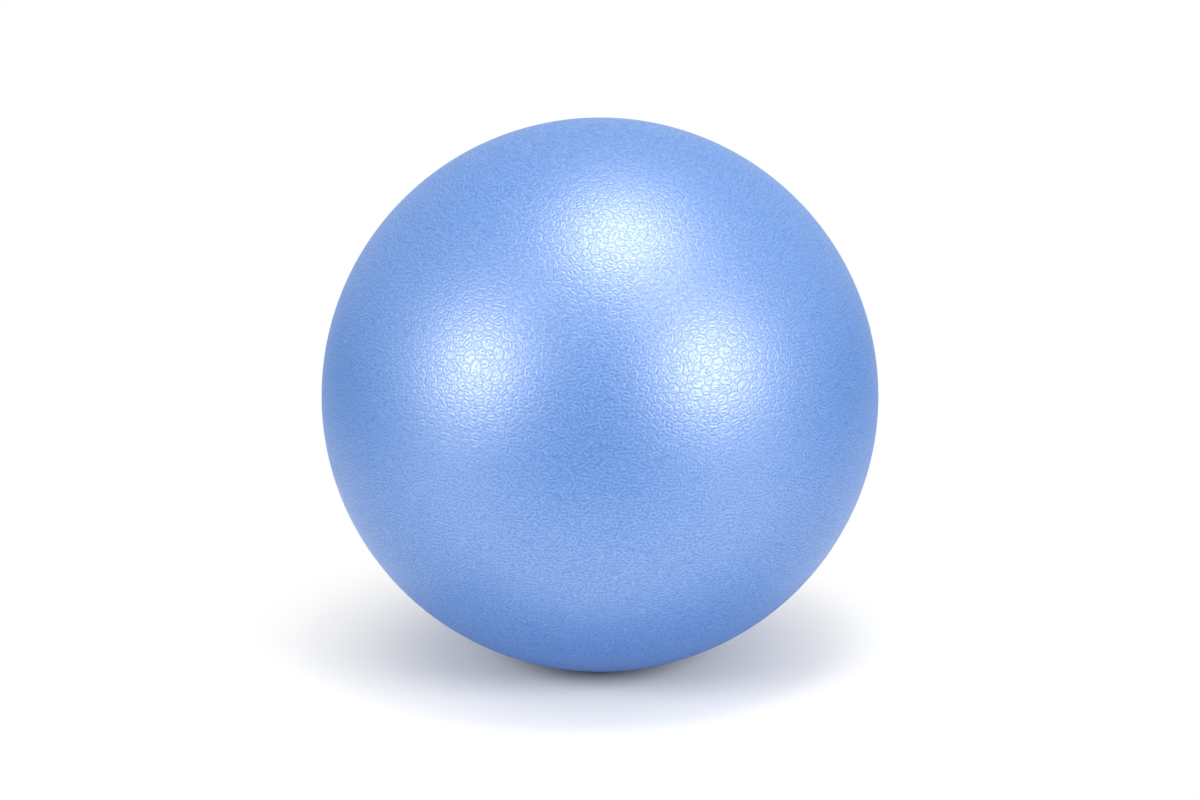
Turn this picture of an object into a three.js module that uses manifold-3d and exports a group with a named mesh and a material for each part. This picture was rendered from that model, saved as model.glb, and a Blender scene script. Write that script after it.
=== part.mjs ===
// A soft exercise ball, 250 mm across, with its moulded-in valve sleeve and its pull-out plug.
// Units are millimetres and +Z is up. The origin is the centre of the patch that rests on the
// floor. The valve faces +Y, level with the ball's centre.
import * as THREE from "three";
import { mergeVertices } from "three/addons/utils/BufferGeometryUtils.js";
import Module from "manifold-3d";

const wasm = await Module();
wasm.setup();

// Driving sizes of the ball
const BALL_DIAMETER = 250; // across its middle, blown up
const SKIN_WALL = 0.6; // vinyl, thinned as the air stretches it
const REST_SAG = 2.6; // how far its own weight lowers the ball's centre
const CONTACT_RADIUS = 18; // of the patch that lies flat on the floor

// Driving sizes of the plug
const HEAD_RADIUS = 5;
const HEAD_THICKNESS = 1.8;
const HEAD_ROUNDING = 0.6; // of its outer edge
const SHANK_LENGTH = 15;
const SHANK_TOP_RADIUS = 3.3; // of the taper, under the head
const SHANK_TIP_RADIUS = 2.7; // of the taper, at the far end
const TIP_ROUNDING = 1;
const RING_COUNT = 3; // sealing rings along the shank
const RING_WIDTH = 1.8;
const RING_HEIGHT = 0.4;

// Driving sizes of the valve sleeve
const SLEEVE_LENGTH = 18; // from its face to its inner end
const SLEEVE_WALL = 2; // round the plug
const FLANGE_RADIUS = 16; // of the skirt that is bonded under the skin
const FLANGE_THICKNESS = 1.5;
const MOUTH_ROUNDING = 0.4; // of both edges of its face

// Clearances
const BOND_GAP = 0.3; // skin to sleeve, where the two are bonded
const PLUG_GAP = 0.3; // plug to sleeve, where the two seal
const NAIL_GAP = 1.4; // round the plug's head, for a fingernail
const HEAD_SINK = 0.3; // from the sleeve's face down to the plug's head

// How finely round shapes are faceted
const SKIN_SIDES = 60; // round the ball
const CROWN_STEPS = 15; // from its middle to its top
const UNDER_STEPS = 14; // from its middle to the floor
const VALVE_SIDES = 36;
const FLANGE_STEPS = 3;
const ROUNDING_STEPS = 3;

// Shape of the ball, whose lower half is part of an ellipsoid that ends at the contact patch
const ballRadius = BALL_DIAMETER / 2;
const centreHeight = ballRadius - REST_SAG;
const underDepth = centreHeight / Math.sqrt(1 - (CONTACT_RADIUS / ballRadius) ** 2);

// Radii of the valve
const recessRadius = HEAD_RADIUS + NAIL_GAP;
const neckRadius = recessRadius + SLEEVE_WALL;
const holeRadius = neckRadius + BOND_GAP;

// Places along the valve's axis, as distances from the ball's centre
const face = Math.sqrt(ballRadius ** 2 - neckRadius ** 2);
const headTop = face - HEAD_SINK;
const headSeat = headTop - HEAD_THICKNESS;
const recessFloor = headSeat - PLUG_GAP;
const shankTip = headSeat - SHANK_LENGTH;
const sleeveEnd = face - SLEEVE_LENGTH;

// Radius of the flange's outer side, which keeps clear of the skin where its facets come nearest
const dropAngle = Math.asin(FLANGE_RADIUS / (underDepth - SKIN_WALL));
const skinReach = Math.hypot((ballRadius - SKIN_WALL) * Math.cos(dropAngle), FLANGE_RADIUS);
const facetShare = Math.cos(Math.PI / SKIN_SIDES) * Math.cos(Math.PI / (4 * CROWN_STEPS));
const flangeReach = skinReach * facetShare - BOND_GAP;

// Radius of the plug's taper at a distance from the ball's centre
function taperRadius(place) {
  const share = (headSeat - place) / SHANK_LENGTH;
  return THREE.MathUtils.lerp(SHANK_TOP_RADIUS, SHANK_TIP_RADIUS, share);
}

// Points on an arc, with angles in degrees from the direction away from the axis
function arc(centreX, centreY, radius, from, to, steps) {
  const points = [];
  for (let i = 0; i <= steps; i++) {
    const angle = THREE.MathUtils.degToRad(THREE.MathUtils.lerp(from, to, i / steps));
    points.push([centreX + radius * Math.cos(angle), centreY + radius * Math.sin(angle)]);
  }
  return points;
}

function lathe(outline, sides) {
  const points = outline.map(([x, y]) => new THREE.Vector2(x, y));
  return new THREE.LatheGeometry(points, sides);
}

// Closed body for cutting, without the slivers that a turned shape has on its axis
function bodyOf(geometry) {
  const bare = geometry.clone();
  bare.deleteAttribute("normal");
  bare.deleteAttribute("uv");
  const merged = mergeVertices(bare);
  const corners = [];
  for (let i = 0; i < merged.index.count; i += 3) {
    const [a, b, c] = merged.index.array.slice(i, i + 3);
    if (a !== b && b !== c && c !== a) corners.push(a, b, c);
  }
  const vertProperties = new Float32Array(merged.attributes.position.array);
  const triVerts = new Uint32Array(corners);
  return new wasm.Manifold(new wasm.Mesh({ numProp: 3, vertProperties, triVerts }));
}

function geometryOf(body) {
  const { vertProperties, triVerts } = body.getMesh();
  const geometry = new THREE.BufferGeometry();
  geometry.setAttribute("position", new THREE.BufferAttribute(vertProperties, 3));
  geometry.setIndex(new THREE.BufferAttribute(triVerts, 1));
  geometry.computeVertexNormals();
  return geometry;
}

// Turned body of the resting ball, at a distance in from its outer side
function restingBall(inset) {
  const side = ballRadius - inset;
  const under = underDepth - inset;
  const footAngle = Math.asin((centreHeight - inset) / under);
  const outline = [[0, inset]];
  for (let i = 0; i < UNDER_STEPS; i++) {
    const angle = footAngle * (1 - i / UNDER_STEPS);
    outline.push([side * Math.cos(angle), centreHeight - under * Math.sin(angle)]);
  }
  outline.push(...arc(0, centreHeight, side, 0, 90, CROWN_STEPS));
  outline.at(-1)[0] = 0;
  return bodyOf(lathe(outline, SKIN_SIDES).rotateX(Math.PI / 2));
}

// Thin vinyl skin with a round hole for the valve
function skinGeometry() {
  const hole = new THREE.CylinderGeometry(holeRadius, holeRadius, ballRadius, VALVE_SIDES);
  hole.translate(0, ballRadius, centreHeight);
  return geometryOf(restingBall(0).subtract(restingBall(SKIN_WALL)).subtract(bodyOf(hole)));
}

// Flush collar, skirt under the skin and tapered tube, turned as one piece about the valve's axis
function sleeveGeometry() {
  const skirtReach = flangeReach - FLANGE_THICKNESS;
  const degreesAt = (radius, reach) => THREE.MathUtils.radToDeg(Math.acos(radius / reach));
  const outline = [
    [taperRadius(sleeveEnd) + PLUG_GAP + SLEEVE_WALL, sleeveEnd],
    ...arc(0, 0, skirtReach, degreesAt(neckRadius, skirtReach), degreesAt(FLANGE_RADIUS, skirtReach),
      FLANGE_STEPS),
    ...arc(0, 0, flangeReach, degreesAt(FLANGE_RADIUS, flangeReach), degreesAt(neckRadius, flangeReach),
      FLANGE_STEPS),
    ...arc(neckRadius - MOUTH_ROUNDING, face - MOUTH_ROUNDING, MOUTH_ROUNDING, 0, 90, ROUNDING_STEPS),
    ...arc(recessRadius + MOUTH_ROUNDING, face - MOUTH_ROUNDING, MOUTH_ROUNDING, 90, 180,
      ROUNDING_STEPS),
    [recessRadius, recessFloor],
    [taperRadius(recessFloor) + PLUG_GAP, recessFloor],
    [taperRadius(sleeveEnd) + PLUG_GAP, sleeveEnd],
  ];
  return lathe([...outline, outline[0]], VALVE_SIDES);
}

// Round head on a tapered shank with sealing rings
function plugGeometry() {
  const core = (place) => taperRadius(place) - RING_HEIGHT;
  const tipCentre = shankTip + TIP_ROUNDING;
  const outline = [
    [0, shankTip],
    ...arc(core(tipCentre) - TIP_ROUNDING, tipCentre, TIP_ROUNDING, -90, 0, ROUNDING_STEPS),
  ];
  for (let i = RING_COUNT; i >= 1; i--) {
    const ring = headSeat - (i * SHANK_LENGTH) / (RING_COUNT + 1);
    outline.push([core(ring - RING_WIDTH / 2), ring - RING_WIDTH / 2]);
    outline.push([taperRadius(ring - RING_WIDTH / 4), ring - RING_WIDTH / 4]);
    outline.push([taperRadius(ring + RING_WIDTH / 4), ring + RING_WIDTH / 4]);
    outline.push([core(ring + RING_WIDTH / 2), ring + RING_WIDTH / 2]);
  }
  outline.push([core(headSeat), headSeat]);
  outline.push([HEAD_RADIUS, headSeat]);
  outline.push(...arc(HEAD_RADIUS - HEAD_ROUNDING, headTop - HEAD_ROUNDING, HEAD_ROUNDING, 0, 90,
    ROUNDING_STEPS));
  outline.push([0, headTop]);
  return lathe(outline, VALVE_SIDES);
}

function piece(name, geometry, color, roughness) {
  const material = new THREE.MeshStandardMaterial({ color, roughness, metalness: 0 });
  const mesh = new THREE.Mesh(geometry, material);
  mesh.name = name;
  return mesh;
}

// The valve's pieces are turned about +Y through the ball's centre
const valve = new THREE.Group();
valve.position.z = centreHeight;
valve.add(piece("valve_sleeve", sleeveGeometry(), 0x4f83d6, 0.35));
valve.add(piece("valve_plug", plugGeometry(), 0xf2f3f0, 0.3));

const ball = new THREE.Group();
ball.add(piece("ball_skin", skinGeometry(), 0x5f93e2, 0.42));
ball.add(valve);

export default ball;
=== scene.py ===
"""A soft gym ball: grained pearl vinyl skin, valve sleeve and pull-out plug, on a white studio floor.

The ball rests on the floor at the origin, +Z is up and the valve faces +Y. All lengths are in metres.
"""

import math
import random

import bmesh
import bpy
from bpy.props import FloatProperty, FloatVectorProperty, IntProperty, PointerProperty
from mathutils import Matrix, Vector, geometry


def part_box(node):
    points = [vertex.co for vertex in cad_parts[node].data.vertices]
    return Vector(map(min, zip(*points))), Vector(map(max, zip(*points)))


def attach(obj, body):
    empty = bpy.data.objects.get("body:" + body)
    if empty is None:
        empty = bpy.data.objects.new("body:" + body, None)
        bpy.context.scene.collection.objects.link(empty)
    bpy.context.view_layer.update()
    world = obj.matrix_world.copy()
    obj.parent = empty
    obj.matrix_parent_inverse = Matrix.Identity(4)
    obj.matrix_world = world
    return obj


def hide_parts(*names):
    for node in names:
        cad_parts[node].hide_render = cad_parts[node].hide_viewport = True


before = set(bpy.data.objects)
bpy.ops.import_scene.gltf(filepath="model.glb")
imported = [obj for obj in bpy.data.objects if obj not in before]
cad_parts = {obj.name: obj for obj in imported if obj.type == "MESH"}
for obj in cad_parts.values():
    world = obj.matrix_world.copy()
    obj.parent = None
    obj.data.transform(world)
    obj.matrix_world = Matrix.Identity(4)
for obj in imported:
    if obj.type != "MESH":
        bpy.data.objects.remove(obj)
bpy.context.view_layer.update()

bl_info = {
    "name": "Gym Ball",
    "version": (1, 0, 0),
    "blender": (4, 5, 0),
    "location": "View3D > Sidebar > Gym Ball",
    "description": "Builds a soft, grained gym ball with its valve and plug",
    "category": "Object",
}

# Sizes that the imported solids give
SKIN_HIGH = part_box("ball_skin")[1]
SLEEVE_LOW, SLEEVE_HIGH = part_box("valve_sleeve")
PLUG_LOW, PLUG_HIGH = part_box("valve_plug")
BALL_RADIUS = SKIN_HIGH.x
CENTRE = Vector((0, 0, SKIN_HIGH.z - BALL_RADIUS))

# How finely round shapes are divided
WALL_SIDES = 72
WALL_STEPS = 36
TURNED_SIDES = 96
ARC_STEPS = 6
SHARP_ANGLE = math.radians(35)  # from which an edge of a turned piece shows as an edge
MERGE_DISTANCE = 1e-6  # within which corners of the pebbles are one
DELAUNAY_REACH = 1e-9  # within which strewn points would be one

# How light bends in the materials
PEARL_IOR = 1.58
VINYL_IOR = 1.53
POLYETHYLENE_IOR = 1.51

# Grain of the skin's material
CURL_FREQUENCY = 2.0  # waves of the curls in one unit of their noise
CURL_SPREAD = (0.36, 0.64)  # values of that noise that become valley and ridge
OUTLINE_FADE = (0.3, 0.8)  # waves in from a pebble's edge, where its outline gives way to curls

# Ripple of the smooth mouldings
RIPPLE_WIDTH = 0.0012
RIPPLE_HEIGHT = 0.00003
RIPPLE_SPREAD = (0.3, 0.7)  # values of its noise that become valley and ridge
RIPPLE_MATT = 0.06  # how far it takes the roughness either way
# The ripple's valleys are painted darker than the full colour: a painted shade
RIPPLE_PAINTED_SHADE = 0.92  # colour of its valleys, as a share of the full colour

# Layout of the skin's bake map: two rows of three tiles, and a strip above them for the hidden faces
ROW_HEIGHT = 0.465
TILE_FILL = 0.96
STRIP_MIDDLE = 0.965
STRIP_HEIGHT = 0.05
STRIP_FILL = 0.9

# Directions from the ball's centre to the lamps, where the photograph's three highlights put them
TOP_LAMP = Vector((0.114, -0.250, 0.961))
LEFT_LAMP = Vector((-0.728, -0.587, 0.354))
RIGHT_LAMP = Vector((0.676, -0.648, 0.352))
BRIGHT_SIDE = (0.68, -0.58, 0.45)  # of the white room

# The floor near the ball
SHADOW_START = 0.07  # distance at which the floor starts to run out to white
SHADOW_END = 0.19  # distance from which it is white
CARD_LIFT = 0.001  # of the white cards over the floor

SENSOR_WIDTH = 36  # of the camera, in millimetres


def linear(colour):
    """Linear RGB of an sRGB hex colour."""
    shares = [int(colour[i:i + 2], 16) / 255 for i in (0, 2, 4)]
    return tuple(c / 12.92 if c <= 0.04045 else ((c + 0.055) / 1.055) ** 2.4 for c in shares)


def length_setting(name, default, description):
    """A length that a user can change."""
    return FloatProperty(
        name=name, description=description, default=default, min=0, precision=5, unit="LENGTH"
    )


def share_setting(name, default, description):
    """A share from 0 to 1 that a user can change."""
    return FloatProperty(
        name=name, description=description, default=default, min=0, max=1, subtype="FACTOR"
    )


def level_setting(name, default, description):
    """A brightness that a user can change, 1 for full light."""
    return FloatProperty(name=name, description=description, default=default, min=0)


def colour_setting(name, default, description):
    """A colour that a user can change."""
    return FloatVectorProperty(
        name=name, description=description, default=linear(default), min=0, max=1, subtype="COLOR"
    )


class SkinSettings(bpy.types.PropertyGroup):
    """Sizes and colours of the ball's skin"""

    radius: length_setting("Radius", BALL_RADIUS, "Of the blown-up ball, at its middle")
    wall: length_setting("Wall", 0.0006, "Thickness of the stretched vinyl")
    contact_radius: length_setting("Contact Radius", 0.018, "Of the patch that lies flat on the floor")
    hole_radius: length_setting("Hole Radius", 0.0087, "Of the hole that the valve sits in")
    band_radius: length_setting("Band Radius", 0.013, "Of the smooth band round the valve")
    fade_radius: length_setting("Fade Radius", 0.019, "From the valve's axis to where the grain is full")
    pebble_width: length_setting("Pebble Width", 0.0048, "From one pebble of the grain to the next")
    pebble_stray: length_setting("Pebble Stray", 0.0017, "How far a pebble strays from an even spread")
    crease_depth: length_setting("Crease Depth", 0.00002, "Of the creases, below the pebbles' ridges")
    dimple_depth: length_setting("Dimple Depth", 0.00001, "Of a pebble's middle below its ridge")
    flank: share_setting("Flank", 0.2, "Share of a pebble's half-width that slopes down to the crease")
    curl_height: length_setting("Curl Height", 0.00007, "Of the curls on the pebbles, from valley to ridge")
    curl_width: length_setting("Curl Width", 0.0015, "From one curl to the next")
    seed: IntProperty(name="Seed", description="Of the pebbles' places", default=4)
    # The ridge colour is a painted sheen and the valley colour a painted shade on the grain's curls
    ridge_sheen_colour: colour_setting("Ridge Colour", "6d9de2", "Of the grain's ridges, where pearl shows most")
    valley_shade_colour: colour_setting("Valley Colour", "3b80d6", "Of the grain's valleys")
    ridge_roughness: share_setting("Ridge Roughness", 0.46, "Of the grain's polished ridges")
    valley_roughness: share_setting("Valley Roughness", 0.56, "Of the grain's valleys")


class ValveSettings(bpy.types.PropertyGroup):
    """Sizes and colours of the valve sleeve and the plug"""

    neck_radius: length_setting("Neck Radius", 0.0084, "Of the sleeve's collar")
    recess_radius: length_setting("Recess Radius", 0.0064, "Of the recess for the plug's head")
    mouth_rounding: length_setting("Mouth Rounding", 0.0004, "Of the edges of the collar's face")
    flange_thickness: length_setting("Flange Thickness", 0.0015, "Of the skirt under the skin")
    bond_gap: length_setting("Bond Gap", 0.0003, "Between skin and skirt")
    tube_wall: length_setting("Tube Wall", 0.002, "Of the sleeve's tube round the plug")
    seal_gap: length_setting("Seal Gap", 0.0003, "Between plug and sleeve")
    head_thickness: length_setting("Head Thickness", 0.0018, "Of the plug's head")
    head_rounding: length_setting("Head Rounding", 0.0006, "Of the head's edge")
    gate_radius: length_setting("Gate Radius", 0.0011, "Of the dimple that the mould's gate leaves")
    gate_depth: length_setting("Gate Depth", 0.00015, "Of that dimple")
    shank_top: length_setting("Shank Top", 0.0033, "Radius of the taper under the head")
    shank_tip: length_setting("Shank Tip", 0.0027, "Radius of the taper at its far end")
    tip_rounding: length_setting("Tip Rounding", 0.001, "Of the plug's tip")
    ring_count: IntProperty(name="Rings", description="Sealing rings along the shank", default=3, min=0)
    ring_width: length_setting("Ring Width", 0.0018, "Of a sealing ring")
    ring_height: length_setting("Ring Height", 0.0004, "Of a sealing ring")
    sleeve_colour: colour_setting("Sleeve Colour", "4f83d6", "Of the sleeve's vinyl")
    sleeve_roughness: share_setting("Sleeve Roughness", 0.4, "Of the sleeve's vinyl")
    plug_colour: colour_setting("Plug Colour", "f2f3f0", "Of the plug's polyethylene")
    plug_roughness: share_setting("Plug Roughness", 0.34, "Of the plug's polyethylene")


class StageSettings(bpy.types.PropertyGroup):
    """Camera, floor and lights"""

    lens: FloatProperty(name="Lens", description="Focal length in millimetres", default=85, min=1)
    elevation: FloatProperty(
        name="Elevation",
        description="Of the camera over the ball's centre",
        default=math.radians(15),
        subtype="ANGLE",
    )
    distance: length_setting("Distance", 1.278, "From the camera to the ball's centre")
    aim_drop: length_setting("Aim Drop", 0.0019, "How far below the ball's centre the camera aims")
    lamp_distance: length_setting("Lamp Distance", 0.9, "From each lamp to the ball's centre")
    lamp_width: length_setting("Lamp Width", 0.38, "Of the lamps at the sides")
    left_level: level_setting("Left Level", 1.8, "Light that the left lamp sends the floor")
    right_level: level_setting("Right Level", 2.0, "Light that the right lamp sends the floor")
    left_spot: level_setting("Left Spot", 2.4, "Light that the left spot sends the ball")
    right_spot: level_setting("Right Spot", 2.65, "Light that the right spot sends the ball")
    spot_distance: length_setting("Spot Distance", 2.0, "From each spot to the ball's centre")
    bulb_radius: length_setting("Bulb Radius", 0.02, "Of each spot's bulb")
    beam_radius: length_setting("Beam Radius", 0.106, "Of a spot's beam, which spares the ball's rim")
    beam_fade: share_setting("Beam Fade", 0.58, "Share of a spot's beam that fades towards its edge")
    top_width: length_setting("Top Width", 0.36, "Of the lamp above the ball")
    top_level: level_setting("Top Level", 2.6, "Light that the top lamp sends the ball")
    slant: level_setting("Slant", 0.3, "How much more light the room sends from the upper right")
    card_level: level_setting("Card Level", 2.8, "Brightness of the card in front of the ball")
    side_level: level_setting("Side Level", 0.7, "Brightness of the cards beside the ball")
    card_width: length_setting("Card Width", 1.0, "Of the card in front of the ball")
    side_width: length_setting("Side Width", 0.5, "Of the cards beside the ball")
    card_near: length_setting("Card Near", 0.115, "From the ball's foot to a card's near edge")
    card_far: length_setting("Card Far", 0.35, "From the ball's foot to a card's far edge")
    flag_width: length_setting("Flag Width", 0.56, "Of the black flag under the camera")
    flag_height: length_setting("Flag Height", 0.28, "Of that flag")
    flag_distance: length_setting("Flag Distance", 0.6, "From the ball's foot to that flag")
    wing_distance: length_setting("Wing Distance", 0.6, "From the ball's foot to the flags at its sides")
    wing_front: length_setting("Wing Front", 0.15, "How far these flags reach in front of the ball's foot")
    wing_back: length_setting("Wing Back", 0.65, "How far they reach behind it")
    wing_height: length_setting("Wing Height", 0.2, "Of these flags")
    floor_radius: length_setting("Floor Radius", 8, "Of the round floor")


class GymBallSettings(bpy.types.PropertyGroup):
    """All that a user can change"""

    skin: PointerProperty(type=SkinSettings, name="Skin", description="The ball's skin")
    valve: PointerProperty(type=ValveSettings, name="Valve", description="Sleeve and plug")
    stage: PointerProperty(type=StageSettings, name="Stage", description="Camera, floor and lights")


def add_node(tree, kind, inputs=None, **settings):
    """Adds a node with its settings, and fills or links its inputs.

    A node that is given as an input is linked by its first output.
    """
    node = tree.nodes.new(kind)
    for name, value in settings.items():
        setattr(node, name, value)
    for socket, value in (inputs or {}).items():
        if isinstance(value, bpy.types.Node):
            value = value.outputs[0]
        if isinstance(value, bpy.types.NodeSocket):
            tree.links.new(value, node.inputs[socket])
        else:
            node.inputs[socket].default_value = value
    return node


def new_material(name):
    """A material with an empty node tree."""
    material = bpy.data.materials.new(name)
    material.use_nodes = True
    material.node_tree.nodes.clear()
    return material


def pearl_vinyl(skin):
    """Soft vinyl cast in a grained mould, coloured with pearl pigment.

    The pigment gives the eye broad, pale, satin highlights, and the grain breaks them into curls.
    """
    material = new_material("Pearl vinyl, moulded grain")
    tree = material.node_tree
    place = add_node(tree, "ShaderNodeTexCoord").outputs["Object"]
    inward = add_node(tree, "ShaderNodeAttribute", attribute_name="inward").outputs["Fac"]
    grain = add_node(tree, "ShaderNodeAttribute", attribute_name="grain").outputs["Fac"]

    # Curls, from -1 in their valleys to 1 on their ridges
    scale = 1 / (CURL_FREQUENCY * skin.curl_width)
    waves = add_node(
        tree,
        "ShaderNodeTexGabor",
        {"Vector": place, "Scale": scale, "Frequency": CURL_FREQUENCY, "Anisotropy": 0.0},
        gabor_type="3D",
    )
    low, high = CURL_SPREAD
    curls = add_node(
        tree,
        "ShaderNodeMapRange",
        {"Value": waves, "From Min": low, "From Max": high, "To Min": -1.0, "To Max": 1.0},
    )

    # Relief: a crease and a ridge follow each pebble's edge, and curls fill its middle
    waves_across = skin.pebble_width / skin.curl_width
    inset = add_node(tree, "ShaderNodeMath", {0: inward, 1: waves_across / 2}, operation="MULTIPLY")
    phase = add_node(tree, "ShaderNodeMath", {0: inset, 1: math.pi}, operation="MULTIPLY")
    wave = add_node(tree, "ShaderNodeMath", {0: phase}, operation="COSINE")
    outline = add_node(tree, "ShaderNodeMath", {0: wave, 1: 2.0}, operation="POWER")
    valleys = add_node(tree, "ShaderNodeMapRange", {"Value": curls, "From Min": 1.0, "From Max": -1.0})
    start, end = OUTLINE_FADE
    inside = add_node(tree, "ShaderNodeMapRange", {"Value": inset, "From Min": start, "From Max": end})
    creases = add_node(tree, "ShaderNodeMix", {"Factor": inside, "A": outline, "B": valleys})
    relief = add_node(tree, "ShaderNodeMath", {0: creases, 1: grain}, operation="MULTIPLY")
    bump = add_node(
        tree,
        "ShaderNodeBump",
        {"Height": relief, "Distance": skin.curl_height, "Strength": 1.0},
        invert=True,
    )

    # Colour and gloss: polished ridges, with painted sheen on the curls' ridges and painted shade in their
    # valleys
    shade = add_node(tree, "ShaderNodeMath", {0: curls, 1: grain}, operation="MULTIPLY")
    pale = add_node(tree, "ShaderNodeMapRange", {"Value": shade, "From Min": -1.0, "From Max": 1.0})
    paint = add_node(
        tree,
        "ShaderNodeMix",
        {"Factor": pale, "A": (*skin.valley_shade_colour, 1), "B": (*skin.ridge_sheen_colour, 1)},
        data_type="RGBA",
    )
    matt = add_node(
        tree,
        "ShaderNodeMapRange",
        {"Value": relief, "To Min": skin.ridge_roughness, "To Max": skin.valley_roughness},
    )
    shader = add_node(
        tree,
        "ShaderNodeBsdfPrincipled",
        {"Base Color": paint.outputs[2], "Roughness": matt, "IOR": PEARL_IOR, "Normal": bump},
    )
    add_node(tree, "ShaderNodeOutputMaterial", {"Surface": shader})
    return material


def moulded_plastic(name, colour, roughness, ior):
    """A smooth moulding with the faint ripple that its mould leaves.

    The ripple gives the eye soft, slightly uneven reflections, and its valleys carry a painted shade.
    """
    material = new_material(name)
    tree = material.node_tree
    place = add_node(tree, "ShaderNodeTexCoord").outputs["Object"]
    scale = 1 / RIPPLE_WIDTH
    ripple = add_node(tree, "ShaderNodeTexNoise", {"Vector": place, "Scale": scale, "Detail": 2.0})
    bump = add_node(tree, "ShaderNodeBump", {"Height": ripple, "Distance": RIPPLE_HEIGHT, "Strength": 1.0})
    low, high = RIPPLE_SPREAD
    matt = add_node(
        tree,
        "ShaderNodeMapRange",
        {
            "Value": ripple,
            "From Min": low,
            "From Max": high,
            "To Min": roughness - RIPPLE_MATT,
            "To Max": roughness + RIPPLE_MATT,
        },
    )
    # Painted shade: the ripple's valleys take a darker colour
    ripple_shaded_colour = tuple(c * RIPPLE_PAINTED_SHADE for c in colour)
    paint = add_node(
        tree, "ShaderNodeMix", {"Factor": ripple, "A": (*ripple_shaded_colour, 1), "B": (*colour, 1)}, data_type="RGBA"
    )
    shader = add_node(
        tree,
        "ShaderNodeBsdfPrincipled",
        {"Base Color": paint.outputs[2], "Roughness": matt, "IOR": ior, "Normal": bump},
    )
    add_node(tree, "ShaderNodeOutputMaterial", {"Surface": shader})
    return material


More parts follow.
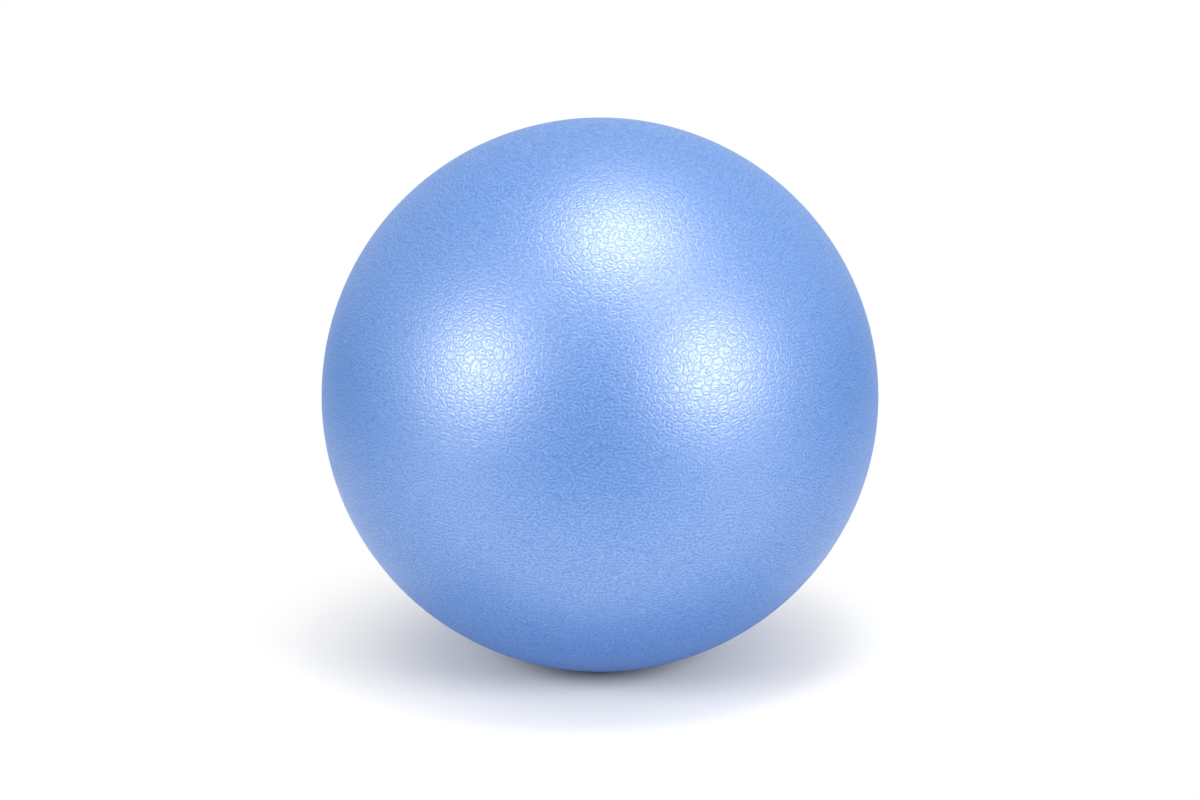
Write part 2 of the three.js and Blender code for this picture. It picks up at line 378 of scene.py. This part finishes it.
def skin_tree():
    """Node tree of the pebbled skin, in which each point of a triangulated sphere becomes a pebble."""
    tree = bpy.data.node_groups.new("Pebbled skin", "GeometryNodeTree")
    inputs = {
        "Points": "NodeSocketGeometry",
        "Radius": "NodeSocketFloat",
        "Valve Point": "NodeSocketVector",
        "Band Radius": "NodeSocketFloat",
        "Fade Radius": "NodeSocketFloat",
        "Flank": "NodeSocketFloat",
        "Crease Depth": "NodeSocketFloat",
        "Dimple Depth": "NodeSocketFloat",
        "Centre Height": "NodeSocketFloat",
        "Under Share": "NodeSocketFloat",
        "Material": "NodeSocketMaterial",
    }
    for name, kind in inputs.items():
        tree.interface.new_socket(name, in_out="INPUT", socket_type=kind)
    tree.interface.new_socket("Skin", in_out="OUTPUT", socket_type="NodeSocketGeometry")
    given = add_node(tree, "NodeGroupInput").outputs
    place = add_node(tree, "GeometryNodeInputPosition")
    outward = add_node(tree, "ShaderNodeVectorMath", {0: place}, operation="NORMALIZE")
    from_valve = add_node(
        tree, "ShaderNodeVectorMath", {0: place, 1: given["Valve Point"]}, operation="DISTANCE"
    ).outputs["Value"]
    grain = add_node(
        tree,
        "ShaderNodeMapRange",
        {"Value": from_valve, "From Min": given["Band Radius"], "From Max": given["Fade Radius"]},
        interpolation_type="SMOOTHSTEP",
    )

    # One cell round each point
    cells = add_node(tree, "GeometryNodeDualMesh", {"Mesh": given["Points"]})
    cells = add_node(
        tree, "GeometryNodeStoreNamedAttribute", {"Geometry": cells, "Name": "inward", "Value": 0.0}
    )

    # Each cell's ridge, then its middle
    ridge = add_node(tree, "ShaderNodeMath", {0: 1.0, 1: given["Flank"]}, operation="SUBTRACT")
    top = True
    for scale, inward in ((ridge, given["Flank"]), (0.0, 1.0)):
        raised = add_node(
            tree, "GeometryNodeExtrudeMesh", {"Mesh": cells, "Selection": top, "Offset Scale": 0.0}
        ).outputs
        top = raised["Top"]
        drawn_in = add_node(
            tree,
            "GeometryNodeScaleElements",
            {"Geometry": raised["Mesh"], "Selection": top, "Scale": scale},
        )
        cells = add_node(
            tree,
            "GeometryNodeStoreNamedAttribute",
            {"Geometry": drawn_in, "Selection": top, "Name": "inward", "Value": inward},
        )
    cells = add_node(tree, "GeometryNodeMergeByDistance", {"Geometry": cells, "Distance": MERGE_DISTANCE})

    # Relief: ridges at the ball's radius, creases and dimples below it, none near the valve
    inward = add_node(tree, "GeometryNodeInputNamedAttribute", {"Name": "inward"})
    sunk = add_node(tree, "ShaderNodeMath", {0: given["Crease Depth"], 1: -1.0}, operation="MULTIPLY")
    flank = add_node(
        tree,
        "ShaderNodeMapRange",
        {"Value": inward, "From Max": given["Flank"], "To Min": sunk, "To Max": 0.0},
    )
    dimple = add_node(
        tree,
        "ShaderNodeMapRange",
        {"Value": inward, "From Min": given["Flank"], "To Max": given["Dimple Depth"]},
    )
    relief = add_node(tree, "ShaderNodeMath", {0: flank, 1: dimple}, operation="SUBTRACT")
    cells = add_node(
        tree, "GeometryNodeStoreNamedAttribute", {"Geometry": cells, "Name": "grain", "Value": grain}
    )
    height = add_node(
        tree, "ShaderNodeMath", {0: relief, 1: grain, 2: given["Radius"]}, operation="MULTIPLY_ADD"
    )
    embossed = add_node(tree, "ShaderNodeVectorMath", {0: outward, "Scale": height}, operation="SCALE")
    cells = add_node(tree, "GeometryNodeSetPosition", {"Geometry": cells, "Position": embossed})

    # Resting shape: the lower half is shallower and ends flat on the floor
    parts = add_node(tree, "ShaderNodeSeparateXYZ", {0: place}).outputs
    shallow = add_node(
        tree, "ShaderNodeMath", {0: parts["Z"], 1: given["Under Share"]}, operation="MULTIPLY"
    )
    settled = add_node(tree, "ShaderNodeMath", {0: parts["Z"], 1: shallow}, operation="MAXIMUM")
    lifted = add_node(tree, "ShaderNodeMath", {0: settled, 1: given["Centre Height"]}, operation="ADD")
    above = add_node(tree, "ShaderNodeMath", {0: lifted, 1: 0.0}, operation="MAXIMUM")
    resting = add_node(tree, "ShaderNodeCombineXYZ", {"X": parts["X"], "Y": parts["Y"], "Z": above})
    cells = add_node(tree, "GeometryNodeSetPosition", {"Geometry": cells, "Position": resting})

    smooth = add_node(tree, "GeometryNodeSetShadeSmooth", {"Geometry": cells})
    real = add_node(tree, "GeometryNodeRealizeInstances", {"Geometry": smooth})
    dressed = add_node(tree, "GeometryNodeSetMaterial", {"Geometry": real, "Material": given["Material"]})
    add_node(tree, "NodeGroupOutput", {"Skin": dressed})
    return tree


def new_piece(name, mesh):
    """An object for a mesh, at the origin."""
    piece = bpy.data.objects.new(name, mesh)
    bpy.context.scene.collection.objects.link(piece)
    return piece


def strewn_sphere(skin):
    """Points strewn evenly over the sphere, but not on the valve's band, with triangles between them.

    Projected from the valve, the sphere is a plane, and the plane's Delaunay triangles are the sphere's.
    """
    strew = random.Random(skin.seed)
    count = round(4 * math.pi * skin.radius**2 / (skin.pebble_width**2 * math.sqrt(3) / 2))
    golden = math.pi * (3 - math.sqrt(5))
    points = []
    for i in range(count):
        along = 1 - 2 * (i + 0.5) / count
        out = math.sqrt(1 - along**2)
        point = Vector((out * math.sin(golden * i), along, out * math.cos(golden * i))) * skin.radius
        if out * skin.radius > skin.fade_radius or along < 0:
            point += Vector([strew.uniform(-1, 1) * skin.pebble_stray for _ in range(3)])
        if along < 0 or out * skin.radius > skin.band_radius - skin.pebble_width / 2:
            points.append(point.normalized())
    plane = [Vector((point.x, point.z)) / (1 - point.y) for point in points]
    faces = geometry.delaunay_2d_cdt(plane, [], [], 0, DELAUNAY_REACH)[2]
    mesh = bpy.data.meshes.new("strewn_sphere")
    mesh.from_pydata([point * skin.radius for point in points], [], faces)
    return mesh


def grown(name, mesh, tree, values):
    """A piece whose mesh the node tree makes from another mesh, with no modifier left on it."""
    piece = new_piece(name, mesh)
    modifier = piece.modifiers.new(tree.name, "NODES")
    modifier.node_group = tree
    for item in tree.interface.items_tree:
        if item.in_out == "INPUT" and item.socket_type != "NodeSocketGeometry":
            modifier[item.identifier] = values[item.name]
    depsgraph = bpy.context.evaluated_depsgraph_get()
    mesh = bpy.data.meshes.new_from_object(
        piece.evaluated_get(depsgraph), preserve_all_data_layers=True, depsgraph=depsgraph
    )
    piece.modifiers.remove(modifier)
    piece.data = mesh
    return piece


def under_share(skin):
    """Depth of the resting ball's lower half, part of an ellipsoid, as a share of the ball's radius."""
    depth = CENTRE.z / math.sqrt(1 - (skin.contact_radius / skin.radius) ** 2)
    return depth / skin.radius


def wall_ring(shell, skin, radius, polar, inset):
    """A ring of vertices round the valve's axis on the resting ball, at an angle from that axis."""
    ring = []
    for i in range(WALL_SIDES):
        turn = math.tau * i / WALL_SIDES - math.pi
        out = radius * math.sin(polar)
        up = out * math.cos(turn)
        up = max(up, up * under_share(skin), inset - CENTRE.z)
        ring.append(shell.verts.new(CENTRE + Vector((out * math.sin(turn), radius * math.cos(polar), up))))
    return ring


def turn_of(vertex):
    """Angle of a vertex round the valve's axis, from +Z towards +X."""
    return math.atan2(vertex.co.x, vertex.co.z - CENTRE.z)


def rim_of(shell):
    """The open rim round the valve, in order from -Z towards -X."""
    start = min((v for v in shell.verts if v.is_boundary), key=turn_of)
    rim = [start]
    while len(rim) == 1 or rim[-1] is not start:
        loops = (edge.link_loops[0] for edge in rim[-1].link_edges if edge.is_boundary)
        rim.append(next(loop.vert for loop in loops if loop.link_loop_next.vert is rim[-1]))
    return rim[:-1]


def stitch(shell, outer, inner):
    """Fills the band between two loops round the valve's axis, whose numbers of points may differ."""
    i = j = 0
    while i < len(outer) or j < len(inner):
        a, b = outer[i % len(outer)], inner[j % len(inner)]
        next_a, next_b = outer[(i + 1) % len(outer)], inner[(j + 1) % len(inner)]
        turn_a = turn_of(next_a) + (math.tau if i + 1 >= len(outer) else 0)
        turn_b = turn_of(next_b) + (math.tau if j + 1 >= len(inner) else 0)
        if j == len(inner) or (i < len(outer) and turn_a <= turn_b):
            shell.faces.new((a, next_a, b))
            i += 1
        else:
            shell.faces.new((a, next_b, b))
            j += 1


def fill_rings(shell, first, second):
    """Faces between two rings with the same number of points. A ring of one point is a pole."""
    faces = []
    for i in range(max(len(first), len(second))):
        a, next_a = first[(i - 1) % len(first)], first[i % len(first)]
        b, next_b = second[(i - 1) % len(second)], second[i % len(second)]
        faces.append(shell.faces.new(dict.fromkeys((a, next_a, next_b, b))))
    return faces


def close_shell(skin, shell):
    """Adds the smooth band round the valve, the hole's edge and the inner wall.

    Returns the faces that aren't seen from outside.
    """
    rim = rim_of(shell)
    inner_radius = skin.radius - skin.wall
    band = [
        wall_ring(shell, skin, skin.radius, math.asin(reach / skin.radius), 0)
        for reach in ((skin.band_radius + skin.hole_radius) / 2, skin.hole_radius)
    ]
    start = math.asin(skin.hole_radius / inner_radius)
    inside = []
    for i in range(WALL_STEPS):
        polar = start + (math.pi - start) * i / WALL_STEPS
        inside.append(wall_ring(shell, skin, inner_radius, polar, skin.wall))
    inside.append([shell.verts.new(CENTRE - Vector((0, inner_radius, 0)))])
    stitch(shell, rim, band[0])
    fill_rings(shell, *band)
    hidden = []
    for first, second in zip([band[1], *inside], inside):
        hidden += fill_rings(shell, first, second)
    if not all(edge.is_manifold for edge in shell.edges):
        raise RuntimeError("the skin isn't a closed shell")
    return set(hidden)


def unwrap(shell, hidden):
    """Lays the skin out for baking on the six sides of a cube, with the hidden faces in a strip."""
    layer = shell.loops.layers.uv.new("OFBake")
    for face in shell.faces:
        middle = face.calc_center_median() - CENTRE
        axis = max(range(3), key=lambda k: abs(middle[k]))
        side = math.copysign(1, middle[axis])
        tile = axis * 2 + (side > 0)
        for loop in face.loops:
            place = loop.vert.co - CENTRE
            across = side * math.atan(place[(axis + 1) % 3] / abs(place[axis])) / (math.pi / 2)
            along = math.atan(place[(axis + 2) % 3] / abs(place[axis])) / (math.pi / 2)
            if face in hidden:
                u = (tile + 0.5 + STRIP_FILL * across) / 6
                v = STRIP_MIDDLE + STRIP_HEIGHT * along
            else:
                u = (tile % 3 + 0.5 + TILE_FILL * across) / 3
                v = (tile // 3 + 0.5 + TILE_FILL * along) * ROW_HEIGHT
            loop[layer].uv = (u, v)


def finish_piece(piece, body, node):
    """Puts a finished piece in the place of its solid."""
    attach(piece, body)
    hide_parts(node)


class GYMBALL_OT_skin(bpy.types.Operator):
    """Mould the grained skin of the ball"""

    bl_idname = "gymball.skin"
    bl_label = "Skin"

    def execute(self, context):
        skin = context.scene.gym_ball.skin
        values = {
            "Radius": skin.radius,
            "Valve Point": (0, skin.radius, 0),
            "Band Radius": skin.band_radius,
            "Fade Radius": skin.fade_radius,
            "Flank": skin.flank,
            "Crease Depth": skin.crease_depth,
            "Dimple Depth": skin.dimple_depth,
            "Centre Height": CENTRE.z,
            "Under Share": under_share(skin),
            "Material": pearl_vinyl(skin),
        }
        piece = grown("grained_skin", strewn_sphere(skin), skin_tree(), values)
        shell = bmesh.new()
        shell.from_mesh(piece.data)
        hidden = close_shell(skin, shell)
        unwrap(shell, hidden)
        for face in shell.faces:
            face.smooth = True
        shell.to_mesh(piece.data)
        shell.free()
        finish_piece(piece, "ball", "ball_skin")
        return {"FINISHED"}


def arc(centre, radius, start, end):
    """Points on an arc, with angles in degrees from the direction away from the axis."""
    points = []
    for i in range(ARC_STEPS + 1):
        angle = math.radians(start + (end - start) * i / ARC_STEPS)
        points.append((centre[0] + radius * math.cos(angle), centre[1] + radius * math.sin(angle)))
    return points


def turned(name, outline, closed, material):
    """A piece turned about the valve's axis.

    Its outline has distances from that axis and places along it.
    """
    body = bmesh.new()
    rings = []
    for out, along in outline:
        count = TURNED_SIDES if out > 0 else 1
        turns = [math.tau * i / count for i in range(count)]
        rings.append(
            [body.verts.new(CENTRE + Vector((out * math.sin(t), along, out * math.cos(t)))) for t in turns]
        )
    if closed:
        rings.append(rings[0])
    for first, second in zip(rings, rings[1:]):
        fill_rings(body, first, second)
    mesh = bpy.data.meshes.new(name)
    for face in body.faces:
        face.smooth = True
    body.to_mesh(mesh)
    body.free()
    mesh.set_sharp_from_angle(angle=SHARP_ANGLE)
    mesh.materials.append(material)
    return new_piece(name, mesh)


def taper(valve, along):
    """Radius of the plug's taper at a place along the valve's axis."""
    seat = PLUG_HIGH.y - valve.head_thickness
    share = (seat - along) / (seat - PLUG_LOW.y)
    return valve.shank_top + (valve.shank_tip - valve.shank_top) * share


class GYMBALL_OT_sleeve(bpy.types.Operator):
    """Turn the valve sleeve: flush collar, skirt under the skin and tapered tube"""

    bl_idname = "gymball.sleeve"
    bl_label = "Valve Sleeve"

    def execute(self, context):
        skin, valve = context.scene.gym_ball.skin, context.scene.gym_ball.valve
        face, end = SLEEVE_HIGH.y, SLEEVE_LOW.y
        bore = taper(valve, end) + valve.seal_gap
        recess_floor = PLUG_HIGH.y - valve.head_thickness - valve.seal_gap
        upper = skin.radius - skin.wall - valve.bond_gap
        lower = upper - valve.flange_thickness
        flange = SLEEVE_HIGH.x
        rounding = valve.mouth_rounding

        def on_arc(reach, start, stop):
            return arc((0, 0), reach, *(math.degrees(math.acos(r / reach)) for r in (start, stop)))

        outline = [
            (bore + valve.tube_wall, end),
            *on_arc(lower, valve.neck_radius, flange),
            *on_arc(upper, flange, valve.neck_radius),
            *arc((valve.neck_radius - rounding, face - rounding), rounding, 0, 90),
            *arc((valve.recess_radius + rounding, face - rounding), rounding, 90, 180),
            (valve.recess_radius, recess_floor),
            (taper(valve, recess_floor) + valve.seal_gap, recess_floor),
            (bore, end),
        ]
        vinyl = moulded_plastic(
            "Soft vinyl, smooth", valve.sleeve_colour, valve.sleeve_roughness, VINYL_IOR
        )
        piece = turned("smooth_valve_sleeve", outline, True, vinyl)
        finish_piece(piece, "ball", "valve_sleeve")
        return {"FINISHED"}


class GYMBALL_OT_plug(bpy.types.Operator):
    """Turn the plug: round head on a tapered shank with sealing rings"""

    bl_idname = "gymball.plug"
    bl_label = "Plug"

    def execute(self, context):
        valve = context.scene.gym_ball.valve
        top, tip = PLUG_HIGH.y, PLUG_LOW.y
        seat = top - valve.head_thickness
        head = PLUG_HIGH.x
        core_tip = taper(valve, tip + valve.tip_rounding) - valve.ring_height
        outline = [
            (0, tip),
            *arc((core_tip - valve.tip_rounding, tip + valve.tip_rounding), valve.tip_rounding, -90, 0),
        ]
        for i in range(valve.ring_count, 0, -1):
            middle = seat - i * (seat - tip) / (valve.ring_count + 1)
            for step in range(2 * ARC_STEPS + 1):
                share = step / (2 * ARC_STEPS)
                along = middle + (share - 0.5) * valve.ring_width
                bulge = valve.ring_height * (math.sin(math.pi * share) - 1)
                outline.append((taper(valve, along) + bulge, along))
        rounding = valve.head_rounding
        outline += [
            (taper(valve, seat) - valve.ring_height, seat),
            *arc((head - rounding / 2, seat + rounding / 2), rounding / 2, -90, 0),
            *arc((head - rounding, top - rounding), rounding, 0, 90),
            *arc((valve.gate_radius + valve.gate_depth, top - valve.gate_depth), valve.gate_depth, 90, 180),
            (0, top - valve.gate_depth),
        ]
        plastic = moulded_plastic(
            "White polyethylene, moulded", valve.plug_colour, valve.plug_roughness, POLYETHYLENE_IOR
        )
        piece = turned("ringed_plug", outline, False, plastic)
        finish_piece(piece, "plug", "valve_plug")
        return {"FINISHED"}


def seen_rays(tree):
    """1 for the rays on which the background shows: camera, glossy and transmission rays."""
    path = add_node(tree, "ShaderNodeLightPath").outputs
    mirrored = add_node(
        tree, "ShaderNodeMath", {0: path["Is Camera Ray"], 1: path["Is Glossy Ray"]}, operation="MAXIMUM"
    )
    return add_node(
        tree, "ShaderNodeMath", {0: mirrored, 1: path["Is Transmission Ray"]}, operation="MAXIMUM"
    )


def white_floor():
    """Matt white studio floor that shows the ball's shadow and runs out to pure white."""
    material = new_material("White studio floor")
    tree = material.node_tree
    place = add_node(tree, "ShaderNodeTexCoord").outputs["Object"]
    away = add_node(tree, "ShaderNodeVectorMath", {0: place}, operation="LENGTH").outputs["Value"]
    clear = add_node(
        tree,
        "ShaderNodeMapRange",
        {"Value": away, "From Min": SHADOW_START, "From Max": SHADOW_END},
        interpolation_type="SMOOTHSTEP",
    )
    matt = add_node(tree, "ShaderNodeBsdfDiffuse", {"Color": (*linear("e7e7e7"), 1)})
    paper = add_node(tree, "ShaderNodeBsdfDiffuse", {"Color": (*linear("b3b1ae"), 1)})
    satin = add_node(tree, "ShaderNodeBsdfAnisotropic", {"Color": (*linear("a6a6a6"), 1), "Roughness": 1.0})
    near = add_node(tree, "ShaderNodeAddShader", {0: paper, 1: satin})
    far = add_node(tree, "ShaderNodeEmission", {"Color": (*linear("ffffff"), 1), "Strength": 1.0})
    shown = add_node(tree, "ShaderNodeMixShader", {"Fac": clear, 1: near, 2: far})
    floor = add_node(tree, "ShaderNodeMixShader", {"Fac": seen_rays(tree), 1: matt, 2: shown})
    add_node(tree, "ShaderNodeOutputMaterial", {"Surface": floor})
    return material


def black_cloth():
    """Matt black cloth, which mirrors as a soft dark patch and keeps light off the ball."""
    material = new_material("Black cloth")
    matt = add_node(material.node_tree, "ShaderNodeBsdfDiffuse", {"Color": (*linear("000000"), 1)})
    add_node(material.node_tree, "ShaderNodeOutputMaterial", {"Surface": matt})
    return material


def upright(name, start, end, height, material):
    """A flag that stands on the floor between two points, out of the camera's sight."""
    mesh = bpy.data.meshes.new(name)
    corners = [(*start, 0), (*end, 0), (*end, height), (*start, height)]
    mesh.from_pydata(corners, [], [(0, 1, 2, 3)])
    mesh.materials.append(material)
    flag = new_piece(name, mesh)
    flag.visible_camera = False
    return flag


def gloss_lamp(name, kind, power, **settings):
    """A lamp that shows only as gloss, while the white room shows the ball's colour."""
    light = bpy.data.lights.new(name, kind)
    light.energy = power
    light.cycles.use_multiple_importance_sampling = False
    for setting, value in settings.items():
        setattr(light, setting, value)
    lamp = new_piece(name, light)
    lamp.visible_camera = False
    lamp.visible_diffuse = False
    return lamp


def lay_floor(stage):
    """Lays the round floor. Returns a collection of it alone, for lamps that light nothing else."""
    ground = bmesh.new()
    bmesh.ops.create_circle(ground, cap_ends=True, segments=TURNED_SIDES, radius=stage.floor_radius)
    mesh = bpy.data.meshes.new("studio_floor")
    ground.to_mesh(mesh)
    ground.free()
    mesh.materials.append(white_floor())
    floor = new_piece("studio_floor", mesh)
    floor_alone = bpy.data.collections.new("floor_alone")
    floor_alone.objects.link(floor)
    return floor_alone


def stand_flags(stage):
    """Stands a black flag under the camera, which only mirrors, and one at each side of the ball."""
    cloth = black_cloth()
    across, front = stage.flag_width / 2, -stage.flag_distance
    flag = upright("front_flag", (-across, front), (across, front), stage.flag_height, cloth)
    flag.visible_diffuse = False
    flag.visible_shadow = False
    for name, x in (("left_flag", -stage.wing_distance), ("right_flag", stage.wing_distance)):
        upright(name, (x, -stage.wing_front), (x, stage.wing_back), stage.wing_height, cloth)


def white_room(stage):
    """A white world that sends more light from one side."""
    world = bpy.data.worlds.new("White room")
    world.use_nodes = True
    tree = world.node_tree
    tree.nodes.clear()
    towards = add_node(tree, "ShaderNodeTexCoord").outputs["Generated"]
    facing = add_node(
        tree, "ShaderNodeVectorMath", {0: towards, 1: BRIGHT_SIDE}, operation="DOT_PRODUCT"
    ).outputs["Value"]
    light = add_node(tree, "ShaderNodeMath", {0: facing, 1: stage.slant, 2: 1.0}, operation="MULTIPLY_ADD")
    strength = add_node(tree, "ShaderNodeMix", {"Factor": seen_rays(tree), "A": light, "B": 1.0})
    sky = add_node(
        tree, "ShaderNodeBackground", {"Color": (*linear("ffffff"), 1), "Strength": strength}
    )
    add_node(tree, "ShaderNodeOutputWorld", {"Surface": sky})
    return world


def hang_lamps(stage, floor_alone):
    """Hangs the lamps. The side lamps light the floor alone, and a spot behind each lights the ball."""
    lamps = {
        "top": (TOP_LAMP, stage.top_width, stage.top_level, None),
        "left": (LEFT_LAMP, stage.lamp_width, stage.left_level, stage.left_spot),
        "right": (RIGHT_LAMP, stage.lamp_width, stage.right_level, stage.right_spot),
    }
    beam = 2 * math.atan(stage.beam_radius / stage.spot_distance)
    for name, (direction, width, level, spot_level) in lamps.items():
        power = level * (math.pi * stage.lamp_distance) ** 2
        lamp = gloss_lamp(name + "_lamp", "AREA", power, shape="DISK", size=width)
        lamp.location = CENTRE + direction * stage.lamp_distance
        lamp.rotation_euler = direction.to_track_quat("Z", "Y").to_euler()
        if spot_level is not None:
            lamp.light_linking.receiver_collection = floor_alone
            power = spot_level * (math.tau * stage.spot_distance) ** 2
            spot = gloss_lamp(
                name + "_spot",
                "SPOT",
                power,
                spot_size=beam,
                spot_blend=stage.beam_fade,
                shadow_soft_size=stage.bulb_radius,
            )
            spot.location = CENTRE + direction * stage.spot_distance
            spot.rotation_euler = lamp.rotation_euler


def lay_cards(stage):
    """Lays white cards on the floor, which lighten the ball's lower half."""
    depth = stage.card_far - stage.card_near
    away = (stage.card_near + stage.card_far) / 2
    cards = {
        "front": (0, stage.card_width, stage.card_level),
        "left": (-math.pi / 2, stage.side_width, stage.side_level),
        "right": (math.pi / 2, stage.side_width, stage.side_level),
    }
    for name, (turn, width, level) in cards.items():
        power = level * math.pi * width * depth
        card = gloss_lamp(name + "_card", "AREA", power, shape="RECTANGLE", size=width, size_y=depth)
        card.location = (away * math.sin(turn), -away * math.cos(turn), CARD_LIFT)
        card.rotation_euler = (math.pi, 0, turn)


def aimed_camera(stage):
    """The camera, in front of the ball and above its centre."""
    lens = bpy.data.cameras.new("camera")
    lens.sensor_width = SENSOR_WIDTH
    lens.lens = stage.lens
    camera = new_piece("camera", lens)
    towards = Vector((0, -math.cos(stage.elevation), math.sin(stage.elevation)))
    camera.location = CENTRE + towards * stage.distance
    aim = CENTRE - Vector((0, 0, stage.aim_drop)) - camera.location
    camera.rotation_euler = aim.to_track_quat("-Z", "Y").to_euler()
    return camera


class GYMBALL_OT_stage(bpy.types.Operator):
    """Set up the white floor, the flags, the white room, the lamps and cards and the camera"""

    bl_idname = "gymball.stage"
    bl_label = "Stage"

    def execute(self, context):
        scene = context.scene
        stage = scene.gym_ball.stage
        floor_alone = lay_floor(stage)
        stand_flags(stage)
        scene.world = white_room(stage)
        hang_lamps(stage, floor_alone)
        lay_cards(stage)
        scene.camera = aimed_camera(stage)
        scene.view_settings.view_transform = "Standard"
        return {"FINISHED"}


class GYMBALL_PT_panel(bpy.types.Panel):
    """Builds the ball piece by piece"""

    bl_idname = "GYMBALL_PT_panel"
    bl_label = "Gym Ball"
    bl_space_type = "VIEW_3D"
    bl_region_type = "UI"
    bl_category = "Gym Ball"

    def draw(self, context):
        for operator in OPERATORS:
            self.layout.operator(operator.bl_idname)
        settings = context.scene.gym_ball
        for group in (settings.skin, settings.valve, settings.stage):
            box = self.layout.box()
            for name in group.__annotations__:
                box.prop(group, name)


OPERATORS = (GYMBALL_OT_skin, GYMBALL_OT_sleeve, GYMBALL_OT_plug, GYMBALL_OT_stage)
CLASSES = (SkinSettings, ValveSettings, StageSettings, GymBallSettings, *OPERATORS, GYMBALL_PT_panel)


def register():
    for cls in CLASSES:
        bpy.utils.register_class(cls)
    bpy.types.Scene.gym_ball = PointerProperty(type=GymBallSettings)


def unregister():
    del bpy.types.Scene.gym_ball
    for cls in reversed(CLASSES):
        bpy.utils.unregister_class(cls)


def main():
    register()
    bpy.ops.gymball.skin()
    bpy.ops.gymball.sleeve()
    bpy.ops.gymball.plug()
    bpy.ops.gymball.stage()


if __name__ == "__main__":
    main()
